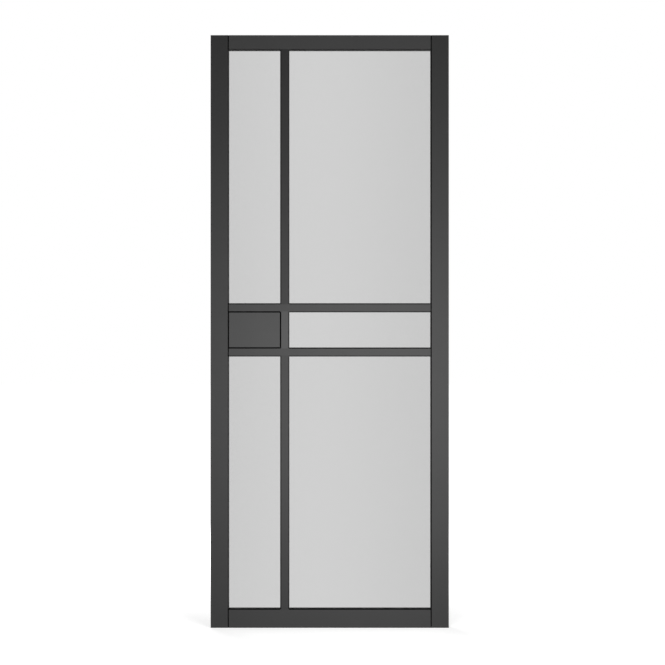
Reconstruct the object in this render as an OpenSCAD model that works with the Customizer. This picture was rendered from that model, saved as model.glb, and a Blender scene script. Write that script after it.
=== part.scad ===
// Framed glass door leaf.
// Two full-height stiles, four rails and three muntins make a grid of six lights: five are
// glazed and the sixth, beside the lock stile, holds a solid block for the lock.
// Each light sits in a rebate that opens to the back, behind a bevelled front lip, and is held
// there by four mitred, pinned beads that repeat the bevel, so both faces look alike.
// Rails butt the stiles on a long and a short shoulder; muntins are coped over the rails' bevels.
// +X points to the hinge stile, +Y to the beaded back, +Z up. The origin is the middle of the foot.

/* [Leaf] */
// Width of the leaf
leaf_w = 820; // [610:1:1000]
// Height of the leaf
leaf_h = 2040; // [1900:1:2200]
// Thickness of the leaf
leaf_t = 35; // [30:0.5:54]

/* [Frame members] */
// Width of each stile, from the leaf's edge to its sight line
stile_w = 62.5; // [56:0.5:110]
// Height of the top rail, from its sight line to the head of the leaf
top_rail_h = 51; // [48:0.5:120]
// Height of the bottom rail, from the foot of the leaf to its sight line
bottom_rail_h = 66; // [48:0.5:220]
// Width of the mid rails and the muntins between sight lines
bar_w = 31; // [27:0.5:60]
// Width of the bevel along every edge that faces a light
bevel = 3.5; // [1:0.25:5]
// Eased edges down the outer sides of the stiles
edge_ease = 1; // [0.25:0.25:3]

/* [Layout] */
// Clear width of the narrow column of lights, beside the lock stile
narrow_w = 177; // [140:0.5:300]
// Clear height of the band that holds the lock block
lock_band_h = 121.5; // [110:0.5:250]
// Height of the middle of that band above the foot
lock_band_z = 1025.5; // [850:0.5:1150]

/* [Glazing] */
// Depth of the rebate into each member, behind the sight line
rebate_d = 8; // [6:0.25:9]
// Clearance between the rebate and what sits in it
rebate_clearance = 0.3; // [0.1:0.05:1]
// Thickness of the glass
glass_t = 4; // [4:0.5:8]
// Ground chamfer on the edges of the glass
glass_arris = 0.5; // [0.25:0.25:1.5]
// Wall of the channel gasket round each pane
gasket_wall = 1.5; // [1:0.25:2.5]
// Slack between the glass and its gasket
gasket_slack = 0.05; // [0.02:0.01:0.2]
// How far the gasket's lips show past the sight line
gasket_show = 0.25; // [0.25:0.25:2]
// Half of the gap left between beads at each mitre
mitre_gap = 0.1; // [0.05:0.05:0.5]

/* [Lock block] */
// Gap between the block's raised faces and the sight lines around it
block_gap = 0.4; // [0.2:0.1:1.5]
// Eased edges of the block's raised faces
block_ease = 0.75; // [0.25:0.25:2]

/* [Dowels] */
// Diameter of the dowels between the stiles and the top and bottom rails
rail_dowel_d = 10; // [8:1:14]
// Length of those dowels, half of it in each member
rail_dowel_l = 80; // [50:1:86]
// Distance between the two dowels at each end of those rails
rail_dowel_pitch = 24; // [18:0.5:28]
// Diameter of the dowels in the ends of the mid rails and muntins
bar_dowel_d = 8; // [6:0.5:9]
// Depth of those dowels in each member
bar_dowel_depth = 30; // [20:1:34]
// Chamfer on the ends of every dowel
dowel_chamfer = 1; // [0.5:0.25:2]
// Glue clearance round every dowel
dowel_clearance = 0.1; // [0.05:0.05:0.3]
// Room left at the bottom of every dowel hole
dowel_end_room = 1; // [0.5:0.5:3]

/* [Bead pins] */
// Diameter of the pins that fix the beads
pin_d = 1.4; // [1:0.1:2]
// How far each pin bites into the member behind its bead
pin_bite = 5; // [3:0.25:6]
// How far each pin's head is punched below the bead's face
pin_punch = 0.5; // [0.25:0.25:1.5]
// Length of each pin's point
pin_point = 2; // [1:0.25:3]
// Clearance round every pin
pin_clearance = 0.05; // [0.02:0.01:0.15]
// Distance from the end of a light to the first pin
pin_inset = 40; // [38:1:50]
// Greatest distance between two pins of one bead
pin_pitch = 180; // [100:5:300]

/* [Hidden] */
$fn = 48;
lacquer = "#464646";
glass_tint = "#cbcbcb80";
rubber = "#141414";
beech = "#c9a877";
steel = "#8d9094";

// How far a cutter reaches past what it cuts.
cut = 1;

// Planes through the thickness: front face, seat of the glazing, face of the beads, back face.
glazing_t = glass_t + 2 * (gasket_wall + gasket_slack);
y_front = -leaf_t / 2;
y_seat = -glazing_t / 2;
y_bead = glazing_t / 2;
y_back = leaf_t / 2;
y_dowel = (y_seat + y_back) / 2;
y_pin = (y_bead + y_back - bevel) / 2;

// Sight lines across the leaf and up it.
x_edge = leaf_w / 2;
x_sight = x_edge - stile_w;
x_muntin = -x_sight + narrow_w;
z_foot_sight = bottom_rail_h;
z_lower_bar = lock_band_z - lock_band_h / 2 - bar_w;
z_upper_bar = lock_band_z + lock_band_h / 2;
z_head_sight = leaf_h - top_rail_h;

// What lies behind the sight lines.
x_joint = x_sight + rebate_d;
web_w = bar_w - 2 * rebate_d;
fill_d = rebate_d - rebate_clearance;
glass_lap = fill_d - gasket_wall - gasket_slack;

// The lights: each column and row has a name and its two sight lines.
COLUMNS = [["narrow", -x_sight, x_muntin], ["wide", x_muntin + bar_w, x_sight]];
ROWS = [
    ["lower", z_foot_sight, z_lower_bar],
    ["middle", z_lower_bar + bar_w, z_upper_bar],
    ["upper", z_upper_bar + bar_w, z_head_sight]
];
LIGHTS = [for (row = ROWS, column = COLUMNS) [str(row[0], "_", column[0]), column, row]];
LOCK_LIGHT = LIGHTS[2];
GLAZED = [for (light = LIGHTS) if (light != LOCK_LIGHT) light];

// The sides of a light, each with the turn that takes the bottom bead there.
BOTTOM = ["bottom", 0];
TOP = ["top", 180];
LEFT = ["left", 90];
RIGHT = ["right", -90];
SIDES = [BOTTOM, TOP, LEFT, RIGHT];

function name_of(piece) = piece[0];
function column_of(light) = light[1];
function row_of(light) = light[2];
function low(span) = span[1];
function high(span) = span[2];
function middle(span) = (low(span) + high(span)) / 2;
function in_column(name) = [for (light = LIGHTS) if (name_of(column_of(light)) == name) light];
function in_row(name) = [for (light = LIGHTS) if (name_of(row_of(light)) == name) light];

// Profiles: an edge is a list of [through the thickness, across the member] points from front
// to back. out is 1 for the edge on the high side of a piece and -1 for the one on its low side.

function reversed(points) = [for (i = [len(points) - 1 : -1 : 0]) points[i]];
function swapped(points) = [for (p = points) [p[1], p[0]]];
function profile(low_edge, high_edge) = concat(high_edge, reversed(low_edge));

// An edge that faces a light: a bevelled front lip, then the rebate, open to the back.
function glazed_edge(sight, out) = [
    [y_front, sight - out * bevel],
    [y_front + bevel, sight],
    [y_seat, sight],
    [y_seat, sight - out * rebate_d],
    [y_back, sight - out * rebate_d]
];

function square_edge(at) = [[y_front, at], [y_back, at]];

// An edge with the same small chamfer on both of its corners.
function eased_edge(at, out, front, back, ease) = [
    [front, at - out * ease],
    [front + ease, at],
    [back - ease, at],
    [back, at - out * ease]
];

function glass_edge(sight, out) =
    eased_edge(sight + out * glass_lap, out, -glass_t / 2, glass_t / 2, glass_arris);

// The lock block's edge: a raised face in front of and behind a tongue that fills the rebate.
function block_edge(sight, out) =
    let (face = eased_edge(sight - out * block_gap, out, y_front, y_back, block_ease))
    let (tongue = sight + out * fill_d)
    concat(
        [face[0], face[1], [y_seat, face[1][1]], [y_seat, tongue]],
        [[y_bead, tongue], [y_bead, face[2][1]], face[2], face[3]]
    );

module extruded_in_x(x0, x1, section)
    translate([x0, 0, 0]) rotate([90, 0, 90]) linear_extrude(x1 - x0) polygon(section);

module extruded_in_z(z0, z1, section)
    translate([0, 0, z0]) linear_extrude(z1 - z0) polygon(swapped(section));

// A panel whose edges across and up its light have the same form: the extrusions mitre it.
module panel(light, across, up) intersection() {
    extruded_in_x(low(column_of(light)) - rebate_d, high(column_of(light)) + rebate_d, up);
    extruded_in_z(low(row_of(light)) - rebate_d, high(row_of(light)) + rebate_d, across);
}

// A slab between two planes that reaches past a light's sight lines by grow.
module slab(light, grow, y0, y1)
    translate([low(column_of(light)) - grow, y0, low(row_of(light)) - grow])
        cube([
            high(column_of(light)) - low(column_of(light)) + 2 * grow,
            y1 - y0,
            high(row_of(light)) - low(row_of(light)) + 2 * grow
        ]);

// Dowels: each place is [x, z, diameter, length].

top_tongue = ["top", z_head_sight + rebate_d, leaf_h];
bottom_tongue = ["bottom", 0, z_foot_sight - rebate_d];
function rail_end_places(tongue) = [
    for (x = [-x_joint, x_joint], step = [-rail_dowel_pitch / 2, rail_dowel_pitch / 2])
        [x, middle(tongue) + step, rail_dowel_d, rail_dowel_l]
];
TOP_DOWELS = rail_end_places(top_tongue);
BOTTOM_DOWELS = rail_end_places(bottom_tongue);

z_lower_axis = z_lower_bar + bar_w / 2;
z_upper_axis = z_upper_bar + bar_w / 2;
blind_l = 2 * bar_dowel_depth;
MID_DOWELS = [for (x = [-x_joint, x_joint], z = [z_lower_axis, z_upper_axis]) [x, z, bar_dowel_d, blind_l]];

// The muntins' dowels end in the top and bottom rails and pass right through the mid rails.
x_muntin_axis = x_muntin + bar_w / 2;
through_l = blind_l + web_w;
MUNTIN_DOWELS = [
    [x_muntin_axis, high(bottom_tongue), bar_dowel_d, blind_l],
    [x_muntin_axis, z_lower_axis, bar_dowel_d, through_l],
    [x_muntin_axis, z_upper_axis, bar_dowel_d, through_l],
    [x_muntin_axis, low(top_tongue), bar_dowel_d, blind_l]
];

LEVEL = [0, 90, 0];
UPRIGHT = [0, 0, 0];

module dowel(d, l) rotate_extrude() polygon([
    [0, -l / 2],
    [d / 2 - dowel_chamfer, -l / 2],
    [d / 2, -l / 2 + dowel_chamfer],
    [d / 2, l / 2 - dowel_chamfer],
    [d / 2 - dowel_chamfer, l / 2],
    [0, l / 2]
]);

module dowels(places, direction) color(beech)
    for (p = places) translate([p[0], y_dowel, p[1]]) rotate(direction) dowel(p[2], p[3]);

module dowel_holes(places, direction)
    for (p = places) translate([p[0], y_dowel, p[1]]) rotate(direction)
        cylinder(d = p[2] + 2 * dowel_clearance, h = p[3] + 2 * dowel_end_room, center = true);

// Beads and pins, drawn as the bottom bead of a light whose sight line is at the origin.

function is_upright(side) = side == LEFT || side == RIGHT;
function run_of(light, side) =
    let (span = is_upright(side) ? row_of(light) : column_of(light)) high(span) - low(span);

// Places of the pins along a run, from its middle.
function pin_places(run) =
    let (reach = run - 2 * pin_inset, gaps = max(1, ceil(reach / pin_pitch)))
    [for (i = [0 : gaps]) -reach / 2 + i * reach / gaps];

module at_side(light, side) {
    column = column_of(light);
    row = row_of(light);
    x = side == LEFT ? low(column) : side == RIGHT ? high(column) : middle(column);
    z = side == BOTTOM ? low(row) : side == TOP ? high(row) : middle(row);
    translate([x, 0, z]) rotate([0, side[1], 0]) children();
}

module pin() rotate_extrude() polygon([
    [0, -rebate_d - pin_bite],
    [pin_d / 2, -rebate_d - pin_bite + pin_point],
    [pin_d / 2, -pin_punch],
    [0, -pin_punch]
]);

module pin_hole() mirror([0, 0, 1])
    cylinder(d = pin_d + 2 * pin_clearance, h = rebate_d + pin_bite + pin_clearance);

module along_bead(run) for (x = pin_places(run)) translate([x, y_pin, 0]) children();

// The holes that one side of some lights makes in the member behind its beads.
module pin_holes(lights, side)
    for (light = lights) at_side(light, side) along_bead(run_of(light, side)) pin_hole();

module bead_stick(run) intersection() {
    extruded_in_x(-run / 2 - fill_d, run / 2 + fill_d, [
        [y_bead, 0],
        [y_bead, -fill_d],
        [y_back, -fill_d],
        [y_back, -bevel],
        [y_back - bevel, 0]
    ]);
    translate([0, y_back, 0]) rotate([90, 0, 0]) linear_extrude(y_back - y_bead) polygon([
        [-run / 2 + mitre_gap, 0],
        [run / 2 - mitre_gap, 0],
        [run / 2 + fill_d - mitre_gap, -fill_d],
        [-run / 2 - fill_d + mitre_gap, -fill_d]
    ]);
}

module bead(light, side) color(lacquer) at_side(light, side) difference() {
    bead_stick(run_of(light, side));
    along_bead(run_of(light, side)) pin_hole();
}

module bead_pins(light) color(steel)
    for (side = SIDES) at_side(light, side) along_bead(run_of(light, side)) pin();

// Frame members

module stile_blank()
    extruded_in_z(0, leaf_h, profile(
        eased_edge(-x_edge, -1, y_front, y_back, edge_ease),
        glazed_edge(-x_sight, 1)
    ));

module lock_stile() color(lacquer) difference() {
    stile_blank();
    dowel_holes(concat(TOP_DOWELS, BOTTOM_DOWELS, MID_DOWELS), LEVEL);
    pin_holes(in_column("narrow"), LEFT);
}

module hinge_stile() color(lacquer) difference() {
    mirror([1, 0, 0]) stile_blank();
    dowel_holes(concat(TOP_DOWELS, BOTTOM_DOWELS, MID_DOWELS), LEVEL);
    pin_holes(in_column("wide"), RIGHT);
}

// A rail's long shoulders fill the stiles' rebates, its short ones stop at their front lips.
module rail_blank(section) difference() {
    extruded_in_x(-x_joint, x_joint, section);
    for (x = [-x_joint - cut, x_sight])
        translate([x, y_front - cut, -cut])
            cube([rebate_d + cut, y_seat - y_front + cut, leaf_h + 2 * cut]);
}

module top_rail_blank() rail_blank(profile(glazed_edge(z_head_sight, -1), square_edge(leaf_h)));
module bottom_rail_blank() rail_blank(profile(square_edge(0), glazed_edge(z_foot_sight, 1)));
module mid_rail_blank(z) rail_blank(profile(glazed_edge(z, -1), glazed_edge(z + bar_w, 1)));

module top_rail() color(lacquer) difference() {
    top_rail_blank();
    dowel_holes(TOP_DOWELS, LEVEL);
    dowel_holes(MUNTIN_DOWELS, UPRIGHT);
    pin_holes(in_row("upper"), TOP);
}

module bottom_rail() color(lacquer) difference() {
    bottom_rail_blank();
    dowel_holes(BOTTOM_DOWELS, LEVEL);
    dowel_holes(MUNTIN_DOWELS, UPRIGHT);
    pin_holes(in_row("lower"), BOTTOM);
}

module mid_rail(z, row_below, row_above) color(lacquer) difference() {
    mid_rail_blank(z);
    dowel_holes(MID_DOWELS, LEVEL);
    dowel_holes(MUNTIN_DOWELS, UPRIGHT);
    pin_holes(in_row(row_below), TOP);
    pin_holes(in_row(row_above), BOTTOM);
}

// A muntin fills the rebates of the rails at its ends and is coped over their bevels.
module muntin(lights) color(lacquer) difference() {
    extruded_in_z(
        low(row_of(lights[0])) - rebate_d,
        high(row_of(lights[0])) + rebate_d,
        profile(glazed_edge(x_muntin, -1), glazed_edge(x_muntin + bar_w, 1))
    );
    bottom_rail_blank();
    mid_rail_blank(z_lower_bar);
    mid_rail_blank(z_upper_bar);
    top_rail_blank();
    dowel_holes(MUNTIN_DOWELS, UPRIGHT);
    pin_holes([lights[0]], RIGHT);
    pin_holes([lights[1]], LEFT);
}

// What the lights hold

module lock_block(light) color(lacquer) panel(
    light,
    profile(block_edge(low(column_of(light)), -1), block_edge(high(column_of(light)), 1)),
    profile(block_edge(low(row_of(light)), -1), block_edge(high(row_of(light)), 1))
);

module glass(light) color(glass_tint) panel(
    light,
    profile(glass_edge(low(column_of(light)), -1), glass_edge(high(column_of(light)), 1)),
    profile(glass_edge(low(row_of(light)), -1), glass_edge(high(row_of(light)), 1))
);

// A channel round the pane's edge, its lips just showing past the sight lines.
module gasket(light) color(rubber) difference() {
    slab(light, fill_d, y_seat, y_bead);
    slab(light, glass_lap + gasket_slack, y_seat + gasket_wall, y_bead - gasket_wall);
    slab(light, -gasket_show, y_seat - cut, y_bead + cut);
}

lock_stile();
hinge_stile();
top_rail();
mid_rail(z_upper_bar, "middle", "upper");  // upper_mid_rail
mid_rail(z_lower_bar, "lower", "middle");  // lower_mid_rail
bottom_rail();
muntin(in_row("upper"));  // upper_muntin
muntin(in_row("middle"));  // lock_muntin
muntin(in_row("lower"));  // lower_muntin
lock_block(LOCK_LIGHT);
for (light = GLAZED) glass(light);
for (light = GLAZED) gasket(light);
for (light = LIGHTS, side = SIDES)
    bead(light, side);
for (light = LIGHTS) bead_pins(light);
dowels(TOP_DOWELS, LEVEL);  // top_rail_dowels
dowels(BOTTOM_DOWELS, LEVEL);  // bottom_rail_dowels
dowels(MID_DOWELS, LEVEL);  // mid_rail_dowels
dowels(MUNTIN_DOWELS, UPRIGHT);  // muntin_dowels
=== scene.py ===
"""Dress a framed glass door leaf: satin black members, dark grooves, clear panes and their glazing."""

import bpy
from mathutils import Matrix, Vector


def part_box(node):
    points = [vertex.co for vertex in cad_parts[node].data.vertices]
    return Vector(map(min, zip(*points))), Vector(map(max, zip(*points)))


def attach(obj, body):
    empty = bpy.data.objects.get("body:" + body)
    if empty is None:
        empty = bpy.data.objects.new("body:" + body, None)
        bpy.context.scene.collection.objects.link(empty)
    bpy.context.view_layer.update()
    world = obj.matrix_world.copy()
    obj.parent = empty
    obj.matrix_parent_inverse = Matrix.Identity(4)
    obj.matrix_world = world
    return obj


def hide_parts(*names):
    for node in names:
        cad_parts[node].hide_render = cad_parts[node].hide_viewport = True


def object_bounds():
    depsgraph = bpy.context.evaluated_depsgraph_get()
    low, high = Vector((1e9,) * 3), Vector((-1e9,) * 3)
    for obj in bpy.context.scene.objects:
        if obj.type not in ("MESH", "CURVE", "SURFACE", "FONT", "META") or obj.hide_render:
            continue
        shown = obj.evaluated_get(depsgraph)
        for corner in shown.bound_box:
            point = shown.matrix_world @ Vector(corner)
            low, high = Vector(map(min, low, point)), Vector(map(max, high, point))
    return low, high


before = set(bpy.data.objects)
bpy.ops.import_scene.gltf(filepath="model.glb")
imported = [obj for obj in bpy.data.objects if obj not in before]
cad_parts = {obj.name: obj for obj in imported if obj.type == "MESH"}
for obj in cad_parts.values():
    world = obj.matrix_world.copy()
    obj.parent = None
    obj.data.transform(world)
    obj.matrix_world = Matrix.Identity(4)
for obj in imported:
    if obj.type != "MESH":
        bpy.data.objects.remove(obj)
CAD_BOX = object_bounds()

import fnmatch
import logging
import math
from dataclasses import dataclass, field, replace
from enum import Enum, IntEnum
from typing import Any, Iterator

import bmesh
import bpy
from mathutils import Vector

BODY = "root"
MM = 0.001
MERGE_GAP = 0.001 * MM
LOG = logging.getLogger("glass_door")

# The axes in the plane of the leaf: X across it and Z up.
FACE_AXES = (0, 2)

Colour = tuple[float, float, float]
Point = tuple[float, float, float]
Span = tuple[float, float]
WHITE: Colour = (1.0, 1.0, 1.0)


class Light(Enum):
    """The lights of the leaf, which are its openings, by the names that their pieces carry."""

    LOWER_NARROW = "lower_narrow"
    LOWER_WIDE = "lower_wide"
    LOCK = "middle_narrow"
    MIDDLE_WIDE = "middle_wide"
    UPPER_NARROW = "upper_narrow"
    UPPER_WIDE = "upper_wide"


class Side(Enum):
    """The sides of an opening, by the names that their beads carry."""

    BOTTOM = "bottom"
    TOP = "top"
    LEFT = "left"
    RIGHT = "right"


class Slot(Enum):
    """The record's material slots that new pieces take their finish from."""

    LACQUER = "black_lacquer"
    RUBBER = "gasket_rubber"


class PaintedLightTone(Enum):
    """How light or dark the lacquer is painted on a member against the stiles: painted light and shade,
    lighter where a member looks lit, darker where it looks shaded.
    """

    DARK = 0.86
    DEEP = 1.0
    MEDIUM = 1.1
    LIGHT = 1.25
    BRIGHT = 1.38
    LIT_MOST = 1.52

    @classmethod
    def of(cls, node: str) -> "PaintedLightTone":
        """Find a member's tone, its painted light or shade.

        Args:
            node: The member's node.

        Returns:
            Its tone, the deep one unless the photograph shows another.
        """
        # Painted light and shade: the rails, block and lock muntin are painted lighter as if lit, the
        # upper muntin darker as if shaded.
        others = {
            "upper_muntin": cls.DARK,
            "upper_mid_rail": cls.MEDIUM,
            "lower_mid_rail": cls.MEDIUM,
            "bottom_rail": cls.MEDIUM,
            "lock_block": cls.LIGHT,
            "lock_muntin": cls.BRIGHT,
            "top_rail": cls.LIT_MOST,
        }
        return others.get(node, cls.DEEP)


class Coat(IntEnum):
    """The coats of a lacquered member, by the material numbers of its faces: the reveal, sight and groove
    coats paint light and shade by the way a face looks.
    """

    FACE = 0
    REVEAL = 1
    SHADED_SIGHT = 2
    GROOVE = 3


class NodeSheet:
    """A node tree with short ways to add nodes and join them."""

    def __init__(self, tree: bpy.types.NodeTree) -> None:
        """Keep the tree and clear it.

        Args:
            tree: The tree to fill.
        """
        self.tree = tree
        self.tree.nodes.clear()

    def add(self, kind: str, inputs: dict[Any, Any] | None = None, **settings: Any) -> bpy.types.Node:
        """Add a node.

        Args:
            kind: The node's type name.
            inputs: Values or sockets for its inputs, by name or number.
            **settings: Properties of the node itself.

        Returns:
            The new node.
        """
        node = self.tree.nodes.new(kind)
        for name, value in settings.items():
            setattr(node, name, value)
        for key, value in (inputs or {}).items():
            self.feed(node.inputs[key], value)
        return node

    def feed(self, socket: bpy.types.NodeSocket, value: Any) -> None:
        """Link a socket to another one, or set its value.

        Args:
            socket: The input to feed.
            value: An output socket, or a plain value.
        """
        if isinstance(value, bpy.types.NodeSocket):
            self.tree.links.new(value, socket)
        else:
            socket.default_value = value

    def math(self, operation: str, *values: Any) -> bpy.types.NodeSocket:
        """Work out a number.

        Args:
            operation: The Math node's operation.
            *values: Its inputs in order, sockets or numbers.

        Returns:
            The result's socket.
        """
        return self.add("ShaderNodeMath", dict(enumerate(values)), operation=operation).outputs[0]

    def fade(self, value: bpy.types.NodeSocket, span: Span, levels: Span) -> bpy.types.NodeSocket:
        """Pass smoothly from one level to another.

        Args:
            value: The number that decides.
            span: Where the change starts and ends.
            levels: The levels before and after it.

        Returns:
            The level's socket.
        """
        return self.add("ShaderNodeMapRange", {
            "Value": value,
            "From Min": span[0],
            "From Max": span[1],
            "To Min": levels[0],
            "To Max": levels[1],
        }, interpolation_type="SMOOTHSTEP").outputs[0]

    def noise(self, place: bpy.types.NodeSocket, size: bpy.types.NodeSocket, detail: float,
              roughness: float) -> bpy.types.NodeSocket:
        """Add a noise whose patches have a given width.

        Args:
            place: Where it is read.
            size: The width of a patch.
            detail: How many finer layers it has.
            roughness: How much these count.

        Returns:
            The socket of its value, from 0 to 1.
        """
        return self.add("ShaderNodeTexNoise", {
            "Vector": place,
            "Scale": self.math("DIVIDE", 1.0, size),
            "Detail": detail,
            "Roughness": roughness,
        }).outputs["Fac"]


class GroupSheet(NodeSheet):
    """The tree of a new node group with named inputs and outputs."""

    def __init__(self, name: str, kind: str, inputs: dict[str, str], outputs: dict[str, str]) -> None:
        """Make the group and its sockets.

        Args:
            name: The group's name.
            kind: The type name of its tree.
            inputs: The socket type of each input, by name.
            outputs: The socket type of each output, by name.
        """
        super().__init__(bpy.data.node_groups.new(name, kind))
        self.identifiers: dict[str, str] = {}
        for label, socket_type in inputs.items():
            made = self.tree.interface.new_socket(label, in_out="INPUT", socket_type=socket_type)
            self.identifiers[label] = made.identifier
        for label, socket_type in outputs.items():
            self.tree.interface.new_socket(label, in_out="OUTPUT", socket_type=socket_type)
        self.given = self.add("NodeGroupInput").outputs


class MaterialSheet(NodeSheet):
    """The tree of a new material, with places on the piece in object coordinates."""

    def __init__(self, name: str) -> None:
        """Make the material.

        Args:
            name: The material's name.
        """
        self.material = bpy.data.materials.new(name)
        self.material.use_nodes = True
        super().__init__(self.material.node_tree)
        self.place = self.add("ShaderNodeTexCoord").outputs["Object"]

    def bump(self, height: bpy.types.NodeSocket, depth: float) -> bpy.types.NodeSocket:
        """Turn a height into a normal.

        Args:
            height: The height's socket, from 0 to 1.
            depth: The real depth that it stands for.

        Returns:
            The normal's socket.
        """
        inputs = {"Strength": 1.0, "Distance": depth, "Height": height}
        return self.add("ShaderNodeBump", inputs).outputs["Normal"]

    def close(self, shader: bpy.types.Node) -> bpy.types.Material:
        """Send a shader to the output.

        Args:
            shader: The last shader.

        Returns:
            The finished material.
        """
        self.add("ShaderNodeOutputMaterial", {"Surface": shader.outputs[0]})
        return self.material


class SprayedSkin:
    """The shader group that breaks up every sprayed, moulded or filled surface."""

    PEEL_DETAIL = 2.0
    PEEL_ROUGHNESS = 0.5
    MOTTLE_DETAIL = 3.0
    MOTTLE_ROUGHNESS = 0.55
    INPUTS = {
        "Vector": "NodeSocketVector",
        "Color": "NodeSocketColor",
        "Roughness": "NodeSocketFloat",
        "Peel Size": "NodeSocketFloat",
        "Mottle Size": "NodeSocketFloat",
        "Mottle Amount": "NodeSocketFloat",
        "Roughness Spread": "NodeSocketFloat",
    }
    OUTPUTS = {
        "Color": "NodeSocketColor",
        "Roughness": "NodeSocketFloat",
        "Height": "NodeSocketFloat",
    }

    def build(self) -> bpy.types.NodeTree:
        """Make the group.

        Returns:
            A group with a mottled colour, an uneven roughness and a fine peel height.
        """
        sheet = GroupSheet("sprayed_skin", "ShaderNodeTree", self.INPUTS, self.OUTPUTS)
        given = sheet.given
        place = given["Vector"]
        peel = sheet.noise(place, given["Peel Size"], self.PEEL_DETAIL, self.PEEL_ROUGHNESS)
        mottle = sheet.noise(place, given["Mottle Size"], self.MOTTLE_DETAIL, self.MOTTLE_ROUGHNESS)
        swing = sheet.math("MULTIPLY_ADD", mottle, 2.0, -1.0)
        shade = sheet.math("MULTIPLY_ADD", swing, given["Mottle Amount"], 1.0)
        tinted = sheet.add("ShaderNodeVectorMath", {0: given["Color"], "Scale": shade}, operation="SCALE")
        uneven = sheet.math("MULTIPLY_ADD", swing, given["Roughness Spread"], given["Roughness"])
        sheet.add("NodeGroupOutput", {"Color": tinted.outputs[0], "Roughness": uneven, "Height": peel})
        return sheet.tree


class LongGrain:
    """The shader group for lines that run the length of a dowel or a drawn wire."""

    STRETCH: Point = (0.06, 1.0, 0.06)
    DETAIL = 4.0
    ROUGHNESS = 0.6
    INPUTS = {"Vector": "NodeSocketVector", "Line Size": "NodeSocketFloat"}
    OUTPUTS = {"Mask": "NodeSocketFloat"}

    def build(self) -> bpy.types.NodeTree:
        """Make the group.

        Returns:
            A group whose mask is drawn out across and up the leaf, as dowels and pins lie both ways.
        """
        sheet = GroupSheet("long_grain", "ShaderNodeTree", self.INPUTS, self.OUTPUTS)
        given = sheet.given
        stretched = {0: given["Vector"], 1: self.STRETCH}
        drawn = sheet.add("ShaderNodeVectorMath", stretched, operation="MULTIPLY")
        lines = sheet.noise(drawn.outputs[0], given["Line Size"], self.DETAIL, self.ROUGHNESS)
        sheet.add("NodeGroupOutput", {"Mask": lines})
        return sheet.tree


@dataclass(frozen=True)
class SprayedFinish:
    """A finish whose colour, gloss and surface come from the sprayed skin."""

    name: str
    color: Colour
    roughness: float
    specular: float
    peel_size: float = 1.8 * MM
    peel_depth: float = 0.012 * MM
    mottle_size: float = 70 * MM
    mottle_amount: float = 0.05
    roughness_spread: float = 0.05

    def material(self, skin: bpy.types.NodeTree) -> bpy.types.Material:
        """Make the material.

        Args:
            skin: The sprayed skin group.

        Returns:
            The material.
        """
        sheet = MaterialSheet(self.name)
        surface = sheet.add("ShaderNodeGroup", {
            "Vector": sheet.place,
            "Color": (*self.color, 1.0),
            "Roughness": self.roughness,
            "Peel Size": self.peel_size,
            "Mottle Size": self.mottle_size,
            "Mottle Amount": self.mottle_amount,
            "Roughness Spread": self.roughness_spread,
        }, node_tree=skin).outputs
        return sheet.close(sheet.add("ShaderNodeBsdfPrincipled", {
            "Base Color": surface["Color"],
            "Roughness": surface["Roughness"],
            "Specular IOR Level": self.specular,
            "Normal": sheet.bump(surface["Height"], self.peel_depth),
        }))


@dataclass(frozen=True)
class GlassFinish:
    """Flat toughened glass with a neutral tint and the faint wave that its furnace leaves."""

    name: str
    tint: Colour
    tint_spread: float = 0.004
    ior: float = 1.5
    wave_size: float = 180 * MM
    wave_depth: float = 0.004 * MM

    def material(self, skin: bpy.types.NodeTree) -> bpy.types.Material:
        """Make the material, clear to shadow rays so that the pane doesn't darken the floor.

        Args:
            skin: The sprayed skin group, for the wave.

        Returns:
            The material.
        """
        sheet = MaterialSheet(self.name)
        surface = sheet.add("ShaderNodeGroup", {
            "Vector": sheet.place,
            "Color": (*self.tint, 1.0),
            "Peel Size": self.wave_size,
            "Mottle Size": self.wave_size,
            "Mottle Amount": self.tint_spread,
        }, node_tree=skin).outputs
        glass = sheet.add("ShaderNodeBsdfPrincipled", {
            "Base Color": surface["Color"],
            "Roughness": 0.0,
            "IOR": self.ior,
            "Transmission Weight": 1.0,
            "Normal": sheet.bump(surface["Height"], self.wave_depth),
        })
        clear = sheet.add("ShaderNodeBsdfTransparent", {"Color": (*self.tint, 1.0)})
        shadow = sheet.add("ShaderNodeLightPath").outputs["Is Shadow Ray"]
        mixed = {0: shadow, 1: glass.outputs[0], 2: clear.outputs[0]}
        return sheet.close(sheet.add("ShaderNodeMixShader", mixed))


@dataclass(frozen=True)
class GrainFinish:
    """A finish with two tones along its length: turned beech, or drawn wire."""

    name: str
    dark: Colour
    lit_most: Colour
    line_size: float
    roughness: float
    metallic: float = 0.0
    dark_end: float = 0.3
    lit_most_end: float = 0.7

    def material(self, grain: bpy.types.NodeTree) -> bpy.types.Material:
        """Make the material.

        Args:
            grain: The long grain group.

        Returns:
            The material.
        """
        sheet = MaterialSheet(self.name)
        lines = sheet.add("ShaderNodeGroup", {
            "Vector": sheet.place, "Line Size": self.line_size,
        }, node_tree=grain)
        tones = sheet.add("ShaderNodeValToRGB", {"Fac": lines.outputs["Mask"]})
        ends = ((self.dark_end, self.dark), (self.lit_most_end, self.lit_most))
        for element, (position, color) in zip(tones.color_ramp.elements, ends):
            element.position = position
            element.color = (*color, 1.0)
        return sheet.close(sheet.add("ShaderNodeBsdfPrincipled", {
            "Base Color": tones.outputs["Color"],
            "Roughness": self.roughness,
            "Metallic": self.metallic,
        }))


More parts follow.
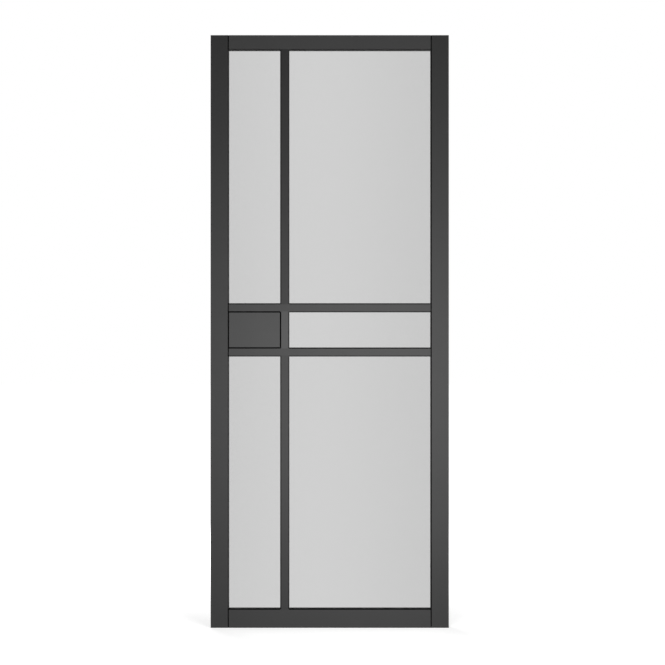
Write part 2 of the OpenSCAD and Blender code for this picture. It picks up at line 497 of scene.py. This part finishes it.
class Palette:
    """Every finish of the leaf, made once."""

    LACQUER = SprayedFinish("satin_black_lacquer", (0.066, 0.066, 0.066), roughness=0.46, specular=0.35)
    # Painted light and shade on bevels and sight faces: the reveal coat where they look right or down, as
    # if lit, and the sight and groove coats where they look left or up, as if shaded. In joints and round
    # the block the groove coat is partly a real matt black and partly painted shade.
    REVEAL = SprayedFinish("lit_reveal_black_lacquer", (0.034, 0.034, 0.034), roughness=0.5, specular=0.3)
    SHADED_SIGHT = SprayedFinish("shaded_sight_black_lacquer", (0.012, 0.012, 0.012), roughness=0.6, specular=0.25)
    GROOVE = SprayedFinish("matt_black_groove", (0.003, 0.003, 0.003), roughness=0.8, specular=0.08)
    FILLER = SprayedFinish("black_wax_filler", (0.03, 0.03, 0.03), roughness=0.6, specular=0.3,
                           peel_size=0.4 * MM)
    RUBBER = SprayedFinish("black_glazing_rubber", (0.008, 0.008, 0.008), roughness=0.65, specular=0.2,
                           peel_size=0.5 * MM, mottle_size=20 * MM, mottle_amount=0.15)
    GLASS = GlassFinish("neutral_clear_glass", tint=(0.6, 0.6, 0.6))
    BEECH = GrainFinish("turned_beech", dark=(0.42, 0.25, 0.11), lit_most=(0.62, 0.43, 0.22),
                        line_size=0.7 * MM, roughness=0.6)
    STEEL = GrainFinish("drawn_steel_wire", dark=(0.3, 0.31, 0.33), lit_most=(0.5, 0.51, 0.53),
                        line_size=0.1 * MM, roughness=0.35, metallic=1.0)

    def __init__(self) -> None:
        """Build the groups, then each finish's material."""
        skin = SprayedSkin().build()
        grain = LongGrain().build()
        # Lit and shaded copies of the lacquer, one per tone: painted light and shade.
        self.tones = {tone: self.lit_or_shaded_lacquer(tone).material(skin) for tone in PaintedLightTone}
        self.reveal = self.REVEAL.material(skin)
        self.shaded_sight = self.SHADED_SIGHT.material(skin)
        self.groove = self.GROOVE.material(skin)
        self.filler = self.FILLER.material(skin)
        self.rubber = self.RUBBER.material(skin)
        self.glass = self.GLASS.material(skin)
        self.beech = self.BEECH.material(grain)
        self.steel = self.STEEL.material(grain)

    def lit_or_shaded_lacquer(self, tone: PaintedLightTone) -> SprayedFinish:
        """Paint light or shade into the lacquer of some of the members.

        Args:
            tone: The members' tone.

        Returns:
            The finish.
        """
        color = tuple(channel * tone.value for channel in self.LACQUER.color)
        return replace(self.LACQUER, name=f"{self.LACQUER.name}_{tone.name.lower()}", color=color)


def link_object(name: str, data: bpy.types.ID) -> bpy.types.Object:
    """Put a mesh, a lamp or a camera in the scene.

    Args:
        name: The object's name.
        data: What it shows. A mesh has its place in its vertices.

    Returns:
        The new object, at the origin.
    """
    made = bpy.data.objects.new(name, data)
    bpy.context.scene.collection.objects.link(made)
    return made


def plain_mesh(worked: bpy.types.Object) -> bpy.types.Mesh:
    """Turn an object and its modifiers into a plain mesh, and remove the object.

    Args:
        worked: The object with its modifiers.

    Returns:
        The evaluated mesh.
    """
    graph = bpy.context.evaluated_depsgraph_get()
    mesh = bpy.data.meshes.new_from_object(
        worked.evaluated_get(graph), preserve_all_data_layers=True, depsgraph=graph)
    bpy.data.objects.remove(worked)
    return mesh


def merged_shape(node: str) -> bmesh.types.BMesh:
    """Copy a CAD node's loose triangles into a closed shape.

    Args:
        node: The node's name.

    Returns:
        The shape, for the caller to free.
    """
    shape = bmesh.new()
    shape.from_mesh(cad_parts[node].data)
    bmesh.ops.remove_doubles(shape, verts=shape.verts, dist=MERGE_GAP)
    return shape


def islands(shape: bmesh.types.BMesh) -> Iterator[list[bmesh.types.BMVert]]:
    """Split a shape into its separate pieces.

    Args:
        shape: The shape to split.

    Yields:
        The corners of each piece, in the same order in every run.
    """
    seen: set[bmesh.types.BMVert] = set()
    for start in shape.verts:
        if start in seen:
            continue
        seen.add(start)
        found = [start]
        for corner in found:
            for edge in corner.link_edges:
                near = edge.other_vert(corner)
                if near not in seen:
                    seen.add(near)
                    found.append(near)
        yield found


def unit(axis: int) -> Vector:
    """Point one unit along an axis, given by its number."""
    return Vector(float(number == axis) for number in range(3))


def nodes_named(pattern: str) -> list[str]:
    """List the CAD nodes whose names fit a pattern, in order."""
    return fnmatch.filter(sorted(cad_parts), pattern)


def dress_node(node: str, material: bpy.types.Material) -> bpy.types.Object:
    """Give a CAD node its finish.

    Args:
        node: The node's name.
        material: The finish.

    Returns:
        The node's own object.
    """
    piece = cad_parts[node]
    piece.data.materials.clear()
    piece.data.materials.append(material)
    return piece


def report(piece: bpy.types.Object) -> None:
    """Log a piece that is ready, with its finishes and its number of faces.

    Args:
        piece: The piece.
    """
    finishes = ", ".join(material.name for material in piece.data.materials)
    LOG.info("%s: %s, %d faces", piece.name, finishes, len(piece.data.polygons))


@dataclass
class Opening:
    """One opening: its sight lines, read from the beads round it, and the pins of those beads."""

    light: Light
    low: Vector = field(init=False)
    high: Vector = field(init=False)

    def __post_init__(self) -> None:
        """Read the sight lines from the frame."""
        boxes = {side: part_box(f"bead_{self.light.value}_{side.value}") for side in Side}
        self.low = Vector((boxes[Side.LEFT][1].x, 0.0, boxes[Side.BOTTOM][1].z))
        self.high = Vector((boxes[Side.RIGHT][0].x, 0.0, boxes[Side.TOP][0].z))

    def holds(self, point: Vector, reach: float) -> bool:
        """Whether a point of a member or bead lies in the opening or on the bevels round it.

        Args:
            point: The point.
            reach: How far the bevels stand out past the sight lines.

        Returns:
            True if it does.
        """
        return all(self.low[i] - reach < point[i] < self.high[i] + reach for i in FACE_AXES)

    def pin_faces(self) -> Iterator[tuple[Vector, Vector]]:
        """Find where each pin enters its bead.

        Yields:
            The point on the bead's face over the pin, and the way that face looks.
        """
        shape = merged_shape(f"bead_pins_{self.light.value}")
        middle = (self.low + self.high) / 2
        for pin in islands(shape):
            low = Vector(min(corner.co[i] for corner in pin) for i in range(3))
            high = Vector(max(corner.co[i] for corner in pin) for i in range(3))
            size = high - low
            point = (low + high) / 2
            axis = max(FACE_AXES, key=lambda i: size[i])
            on_low_side = point[axis] < middle[axis]
            point[axis] = self.low[axis] if on_low_side else self.high[axis]
            yield point, unit(axis) if on_low_side else -unit(axis)
        shape.free()


@dataclass
class SoftCopy:
    """A copy of a CAD node whose long outer corners are softened, and which stands for that node."""

    node: str
    slot: Slot
    soft_edge: float
    soft_steps: int = 2
    shortest_edge: float = 3 * MM
    sharp_angle: float = math.radians(25)
    flat_angle: float = math.radians(0.5)

    def build(self, *materials: bpy.types.Material) -> bpy.types.Object:
        """Make the softened piece.

        Args:
            *materials: The finishes, in the order of the numbers that the faces get.

        Returns:
            The piece.
        """
        mesh = self.marked_mesh()
        for material in materials:
            mesh.materials.append(material)
        piece = link_object(f"soft_{self.node}", self.softened(mesh))
        self.keep_in_box(piece.data)
        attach(piece, BODY)
        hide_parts(self.node)
        return piece

    def marked_mesh(self) -> bpy.types.Mesh:
        """Copy the node with whole flat faces, its soft edges marked and its finishes numbered.

        Returns:
            The copy, still with sharp corners.
        """
        shape = merged_shape(self.node)
        bmesh.ops.dissolve_limit(shape, angle_limit=self.flat_angle, verts=shape.verts, edges=shape.edges)
        self.split(shape)
        weights = shape.edges.layers.float.new("bevel_weight_edge")
        for edge in shape.edges:
            soft = self.is_soft(edge)
            edge[weights] = float(soft)
            edge.smooth = soft or not self.is_sharp(edge)
        for face in shape.faces:
            face.smooth = True
            face.material_index = self.finish_number(face)
        mesh = bpy.data.meshes.new(self.node)
        shape.to_mesh(mesh)
        shape.free()
        # The node's own normals no longer fit its merged faces.
        imported = mesh.attributes.get("custom_normal")
        if imported:
            mesh.attributes.remove(imported)
        return mesh

    def softened(self, mesh: bpy.types.Mesh) -> bpy.types.Mesh:
        """Round the marked edges of a mesh.

        Args:
            mesh: The marked mesh.

        Returns:
            A rounded one, whose flat faces stay flat to the light.
        """
        worked = link_object(f"{self.node}_blank", mesh)
        edges = worked.modifiers.new("soft_edges", "BEVEL")
        edges.limit_method = "WEIGHT"
        edges.width = self.soft_edge
        edges.segments = self.soft_steps
        edges.harden_normals = True
        return plain_mesh(worked)

    def is_sharp(self, edge: bmesh.types.BMEdge) -> bool:
        """Whether the faces at an edge meet at a corner, and not in one plane or curve."""
        return len(edge.link_faces) != 2 or edge.calc_face_angle() > self.sharp_angle

    def is_soft(self, edge: bmesh.types.BMEdge) -> bool:
        """Whether an edge is a long outer corner, and not the rim of a hole."""
        outer = len(edge.link_faces) == 2 and edge.is_convex
        return outer and self.is_sharp(edge) and edge.calc_length() > self.shortest_edge

    def split(self, shape: bmesh.types.BMesh) -> None:
        """Cut the faces that change finish on their way, of which a plain copy has none."""

    def finish_number(self, face: bmesh.types.BMFace) -> int:
        """Number the finish of a face, which is the first one all over."""
        return 0

    def keep_in_box(self, mesh: bpy.types.Mesh) -> None:
        """Hold every corner of the softened mesh inside the node's own box.

        Args:
            mesh: The mesh to hold.
        """
        low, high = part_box(self.node)
        for corner in mesh.vertices:
            corner.co = Vector(min(max(at, least), most) for at, least, most in zip(corner.co, low, high))


@dataclass
class Member(SoftCopy):
    """A lacquered stile, rail, muntin, block or bead, with painted light and shade where it meets a light:
    a mid-dark coat on bevels and sight faces that look right or down, near-black ones on those that look
    left or up and in joints.
    """

    slot: Slot = Slot.LACQUER
    soft_edge: float = 0.35 * MM
    openings: list[Opening] = field(default_factory=list)
    reach: float = 4 * MM
    run_past: float = 10 * MM
    level_normal: float = 0.9
    side_normal: float = 0.3

    def split(self, shape: bmesh.types.BMesh) -> None:
        """Cut the bevels and sight faces where they pass from one light to the next.

        Args:
            shape: The member's shape.
        """
        for axis in FACE_AXES:
            across = unit(axis)
            for place in self.shaded_sight_lines(axis):
                faces = [face for face in shape.faces if self.crosses(face, axis, place)]
                edges = dict.fromkeys(edge for face in faces for edge in face.edges)
                corners = dict.fromkeys(corner for face in faces for corner in face.verts)
                bmesh.ops.bisect_plane(shape, geom=[*faces, *edges, *corners], dist=MERGE_GAP,
                                       plane_co=across * place, plane_no=across)

    def shaded_sight_lines(self, axis: int) -> list[float]:
        """List the places of the sight lines across an axis.

        Args:
            axis: The axis.

        Returns:
            Each place once, in order.
        """
        places: list[float] = []
        for place in sorted(end[axis] for opening in self.openings for end in (opening.low, opening.high)):
            if not places or place - places[-1] > MERGE_GAP:
                places.append(place)
        return places

    def crosses(self, face: bmesh.types.BMFace, axis: int, place: float) -> bool:
        """Whether a face turned to a light or a joint runs well past a sight line, on both sides of it.

        Args:
            face: The face to judge.
            axis: The axis across the sight line.
            place: The sight line's place on that axis.

        Returns:
            True if it does.
        """
        if abs(face.normal.y) > self.level_normal:
            return False
        ends = [corner.co[axis] for corner in face.verts]
        return min(ends) + self.run_past < place < max(ends) - self.run_past

    def finish_number(self, face: bmesh.types.BMFace) -> int:
        """Number the coat of a face.

        Args:
            face: The face to judge.

        Returns:
            The full coat on flat and back-facing faces. In front, painted light and shade: a mid-dark coat
            on bevels and sight faces that look right or down into a pane, as if lit, and near-black ones
            on the rest, as if shaded, also round the block and in joints, where the dark is partly a real
            matt black groove and partly painted shade.
        """
        normal = face.normal
        if normal.y > self.side_normal or normal.y < -self.level_normal:
            return Coat.FACE
        sloping = normal.y < -self.side_normal
        right_or_down = normal.x > self.side_normal or normal.z < -self.side_normal
        centre = face.calc_center_median()
        for opening in self.openings:
            if opening.holds(centre, self.reach):
                # Painted light and shade: faces that look right or down take the lighter coat, as if lit
                # from the lower right, the others the dark ones, as if shaded.
                if right_or_down and opening.light is not Light.LOCK:
                    return Coat.REVEAL
                return Coat.GROOVE if sloping else Coat.SHADED_SIGHT
        # Joint bevels that look inwards are near black, partly a real matt black groove and partly painted
        # shade.
        inwards = normal.x * centre.x < 0.0
        return Coat.GROOVE if sloping and inwards else Coat.FACE


@dataclass
class Gasket(SoftCopy):
    """A rubber channel round a pane, with rounded lips."""

    slot: Slot = Slot.RUBBER
    soft_edge: float = 0.3 * MM


class NodeTool(GroupSheet):
    """A Geometry Nodes tree with named inputs, turned into a plain mesh when it is used."""

    GEOMETRY = {"Geometry": "NodeSocketGeometry"}

    def __init__(self, name: str, inputs: dict[str, str]) -> None:
        """Start the tree.

        Args:
            name: The tree's name.
            inputs: The socket type of each input after the geometry, by name. One is Material.
        """
        super().__init__(name, "GeometryNodeTree", self.GEOMETRY | inputs, self.GEOMETRY)
        self.tree.is_modifier = True

    def close(self, geometry: bpy.types.NodeSocket) -> None:
        """End the tree with real geometry, smooth and in its material.

        Args:
            geometry: The socket that holds the result.
        """
        real = self.add("GeometryNodeRealizeInstances", {"Geometry": geometry})
        smooth = self.add("GeometryNodeSetShadeSmooth", {"Geometry": real.outputs[0]})
        dressed = self.add("GeometryNodeSetMaterial", {
            "Geometry": smooth.outputs[0], "Material": self.given["Material"],
        })
        self.add("NodeGroupOutput", {"Geometry": dressed.outputs[0]})

    def run(self, name: str, source: bpy.types.Mesh, values: dict[str, Any]) -> bpy.types.Object:
        """Run the tree on a mesh.

        Args:
            name: The new piece's name.
            source: The points or paths that the tree reads.
            values: A value for each named input.

        Returns:
            The piece, as a plain mesh whose faces point outwards.
        """
        worked = link_object(f"{name}_source", source)
        modifier = worked.modifiers.new(name, "NODES")
        modifier.node_group = self.tree
        for label, value in values.items():
            modifier[self.identifiers[label]] = value
        mesh = plain_mesh(worked)
        # A mesh that a node makes begins with an empty slot.
        for number in reversed(range(len(mesh.materials))):
            if mesh.materials[number] is None:
                mesh.materials.pop(index=number)
        shape = bmesh.new()
        shape.from_mesh(mesh)
        bmesh.ops.recalc_face_normals(shape, faces=shape.faces)
        shape.to_mesh(mesh)
        shape.free()
        return link_object(name, mesh)


@dataclass
class PinFillers:
    """The dots of wax over the pins, one on each bead's face above every pin."""

    radius: float = 0.8 * MM
    dome: float = 0.12 * MM
    sides: int = 12
    rings: int = 6

    def tool(self) -> NodeTool:
        """Make the tree that sets a flat dome on every point, turned the way its face looks.

        Returns:
            The tree, ready to run.
        """
        tool = NodeTool("pin_filler_dots", {
            "Radius": "NodeSocketFloat",
            "Dome": "NodeSocketFloat",
            "Sides": "NodeSocketInt",
            "Rings": "NodeSocketInt",
            "Material": "NodeSocketMaterial",
        })
        given = tool.given
        ball = tool.add("GeometryNodeMeshUVSphere", {
            "Segments": given["Sides"], "Rings": given["Rings"], "Radius": 1.0,
        })
        facing = tool.add("GeometryNodeInputNamedAttribute", {"Name": "facing"}, data_type="FLOAT_VECTOR")
        turn = tool.add("FunctionNodeAlignRotationToVector", {"Vector": facing.outputs[0]}, axis="Z")
        size = tool.add("ShaderNodeCombineXYZ", {0: given["Radius"], 1: given["Radius"], 2: given["Dome"]})
        dots = tool.add("GeometryNodeInstanceOnPoints", {
            "Points": given["Geometry"],
            "Instance": ball.outputs["Mesh"],
            "Rotation": turn.outputs[0],
            "Scale": size.outputs[0],
        })
        tool.close(dots.outputs[0])
        return tool

    def build(self, openings: list[Opening], material: bpy.types.Material) -> bpy.types.Object:
        """Make the dots of every opening as one piece.

        Args:
            openings: The openings whose pins are covered.
            material: The wax.

        Returns:
            The piece.
        """
        spots = [spot for opening in openings for spot in opening.pin_faces()]
        points = bpy.data.meshes.new("pin_points")
        points.from_pydata([point for point, _ in spots], [], [])
        facing = points.attributes.new("facing", "FLOAT_VECTOR", "POINT")
        for item, (_, way) in zip(facing.data, spots):
            item.vector = way
        piece = self.tool().run("pin_fillers", points, {
            "Radius": self.radius,
            "Dome": self.dome,
            "Sides": self.sides,
            "Rings": self.rings,
            "Material": material,
        })
        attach(piece, BODY)
        return piece


@dataclass(frozen=True)
class Lamp:
    """A soft square lamp that no mirror, pane or camera sees."""

    name: str
    place: Point
    target: Point
    size: float
    watts: float

    def build(self) -> None:
        """Hang the lamp and turn it to its target."""
        data = bpy.data.lights.new(self.name, "AREA")
        data.shape = "SQUARE"
        data.size = self.size
        data.energy = self.watts
        lamp = link_object(self.name, data)
        lamp.location = self.place
        aim = Vector(self.target) - Vector(self.place)
        lamp.rotation_euler = aim.to_track_quat("-Z", "Y").to_euler()
        lamp.visible_camera = False
        lamp.visible_glossy = False
        lamp.visible_transmission = False


@dataclass
class Studio:
    """The camera, the white ground and the lamps, in metres, with levels against the white ground."""

    image_px: int = 665
    leaf_centre_px: tuple[float, float] = (329.715, 331.505)
    leaf_height_px: float = 592.75
    camera_distance: float = 6.5
    sensor_mm: float = 36.0
    key: Lamp = Lamp("key_lamp", place=(0.2, -1.2, 0.8), target=(0.2, 0.0, 0.8), size=0.5, watts=18.0)
    back: Lamp = Lamp("back_lamp", place=(-1.2, 3.0, 1.6), target=(0.0, 0.0, 1.0), size=1.6, watts=90.0)
    dark_front: float = 0.12
    ground_edge: Span = (0.05, 0.6)
    strip_level: float = 1.3
    strip_place: float = -0.06
    strip_half_width: float = 0.48
    fill_level: float = 0.02
    side_level: float = 1.0
    side_edge: Span = (0.6, 0.9)
    floor_size: float = 60.0
    floor_color: Colour = (0.5, 0.5, 0.5)
    floor_glow: float = 0.66
    shadow_reach: float = 0.4
    white_reach: float = 1.3

    def build(self) -> None:
        """Set the camera, the ground and the lamps round the leaf."""
        scene = bpy.context.scene
        scene.view_settings.view_transform = "Standard"
        self.add_camera(scene)
        self.add_world(scene)
        self.add_floor()
        self.key.build()
        self.back.build()

    def add_camera(self, scene: bpy.types.Scene) -> None:
        """Look straight at the front, so that the leaf stands where it does in the photograph.

        Args:
            scene: The scene whose camera it becomes.
        """
        low, high = CAD_BOX
        metres_per_px = (high.z - low.z) / self.leaf_height_px
        off_x = (self.image_px / 2 - self.leaf_centre_px[0]) * metres_per_px
        off_z = (self.leaf_centre_px[1] - self.image_px / 2) * metres_per_px
        data = bpy.data.cameras.new("camera")
        data.sensor_width = self.sensor_mm
        data.lens = self.sensor_mm * self.camera_distance / (self.image_px * metres_per_px)
        camera = link_object("camera", data)
        camera.location = (off_x, low.y - self.camera_distance, (low.z + high.z) / 2 + off_z)
        camera.rotation_euler = (math.radians(90), 0.0, 0.0)
        scene.camera = camera

    def add_world(self, scene: bpy.types.Scene) -> None:
        """Make a ground that is white to the eye and through glass, and that lights the leaf's sides.

        Reflections see it dim behind the camera, but for an upright strip that the panes show.

        Args:
            scene: The scene whose world it becomes.
        """
        world = bpy.data.worlds.new("white_studio")
        world.use_nodes = True
        scene.world = world
        sheet = NodeSheet(world.node_tree)
        path = sheet.add("ShaderNodeLightPath").outputs
        way = sheet.add("ShaderNodeTexCoord").outputs["Generated"]
        across = sheet.add("ShaderNodeSeparateXYZ", {0: way}).outputs
        ground = sheet.fade(across["Y"], self.ground_edge, (self.dark_front, 1.0))
        off_strip = sheet.math("SUBTRACT", across["X"], self.strip_place / self.camera_distance)
        strip_edge = (0.0, self.strip_half_width / self.camera_distance)
        strip = sheet.fade(sheet.math("ABSOLUTE", off_strip), strip_edge, (self.strip_level, 0.0))
        aside = sheet.math("ABSOLUTE", across["X"])
        sides = sheet.fade(aside, self.side_edge, (self.fill_level, self.side_level))
        seen = sheet.math("MAXIMUM", path["Is Camera Ray"], path["Is Transmission Ray"])
        # A ray through a pane counts as glossy too.
        bounced = sheet.math("SUBTRACT", path["Is Glossy Ray"], path["Is Transmission Ray"])
        mirrored = sheet.math("MULTIPLY", bounced, sheet.math("MAXIMUM", ground, strip))
        spread = sheet.math("MULTIPLY", path["Is Diffuse Ray"], sides)
        level = sheet.math("MAXIMUM", sheet.math("MAXIMUM", seen, mirrored), spread)
        shader = sheet.add("ShaderNodeBackground", {"Color": (*WHITE, 1.0), "Strength": level})
        sheet.add("ShaderNodeOutputWorld", {"Surface": shader.outputs[0]})

    def add_floor(self) -> None:
        """Lay a white floor that keeps the leaf's shadow for the eye, and that no pane or gloss sees. Its
        glow is painted light, dimmer round the leaf, where the lamps light it and show its shadow, and
        full white further off.
        """
        half = self.floor_size / 2
        corners = [(-half, -half, 0.0), (half, -half, 0.0), (half, half, 0.0), (-half, half, 0.0)]
        mesh = bpy.data.meshes.new("floor")
        mesh.from_pydata(corners, [], [(0, 1, 2, 3)])
        sheet = MaterialSheet("white_floor")
        away = sheet.add("ShaderNodeVectorMath", {0: sheet.place}, operation="LENGTH").outputs["Value"]
        # Painted light: the floor's glow, dimmer within the shadow reach of the leaf and full white past
        # the white reach.
        level = sheet.fade(away, (self.shadow_reach, self.white_reach), (self.floor_glow, 1.0))
        matt = sheet.add("ShaderNodeBsdfDiffuse", {"Color": (*self.floor_color, 1.0)})
        glow = sheet.add("ShaderNodeEmission", {"Color": (*WHITE, 1.0), "Strength": level})
        lit = sheet.add("ShaderNodeAddShader", {0: matt.outputs[0], 1: glow.outputs[0]})
        mesh.materials.append(sheet.close(lit))
        floor = link_object("floor", mesh)
        floor.visible_diffuse = False
        floor.visible_glossy = False
        floor.visible_transmission = False


def main() -> None:
    """Build the studio, dress the leaf piece by piece and log each piece."""
    logging.basicConfig(level=logging.INFO, format="%(name)s: %(message)s")
    Studio().build()
    palette = Palette()
    openings = [Opening(light) for light in Light]
    panes = nodes_named("glass_*")
    gaskets = nodes_named("gasket_*")
    pins = nodes_named("bead_pins_*")
    dowels = nodes_named("*_dowels")
    for node in sorted(set(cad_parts).difference(panes, gaskets, pins, dowels)):
        member = Member(node, openings=openings)
        # The lacquer with this member's painted light or shade.
        face = palette.tones[PaintedLightTone.of(node)]
        # Then the coats that paint light and shade on its bevels and sight faces, and darken its joints.
        report(member.build(face, palette.reveal, palette.shaded_sight, palette.groove))
    for node in gaskets:
        report(Gasket(node).build(palette.rubber))
    for nodes, material in ((panes, palette.glass), (pins, palette.steel), (dowels, palette.beech)):
        for node in nodes:
            report(dress_node(node, material))
    report(PinFillers().build(openings, palette.filler))


if __name__ == "__main__":
    main()
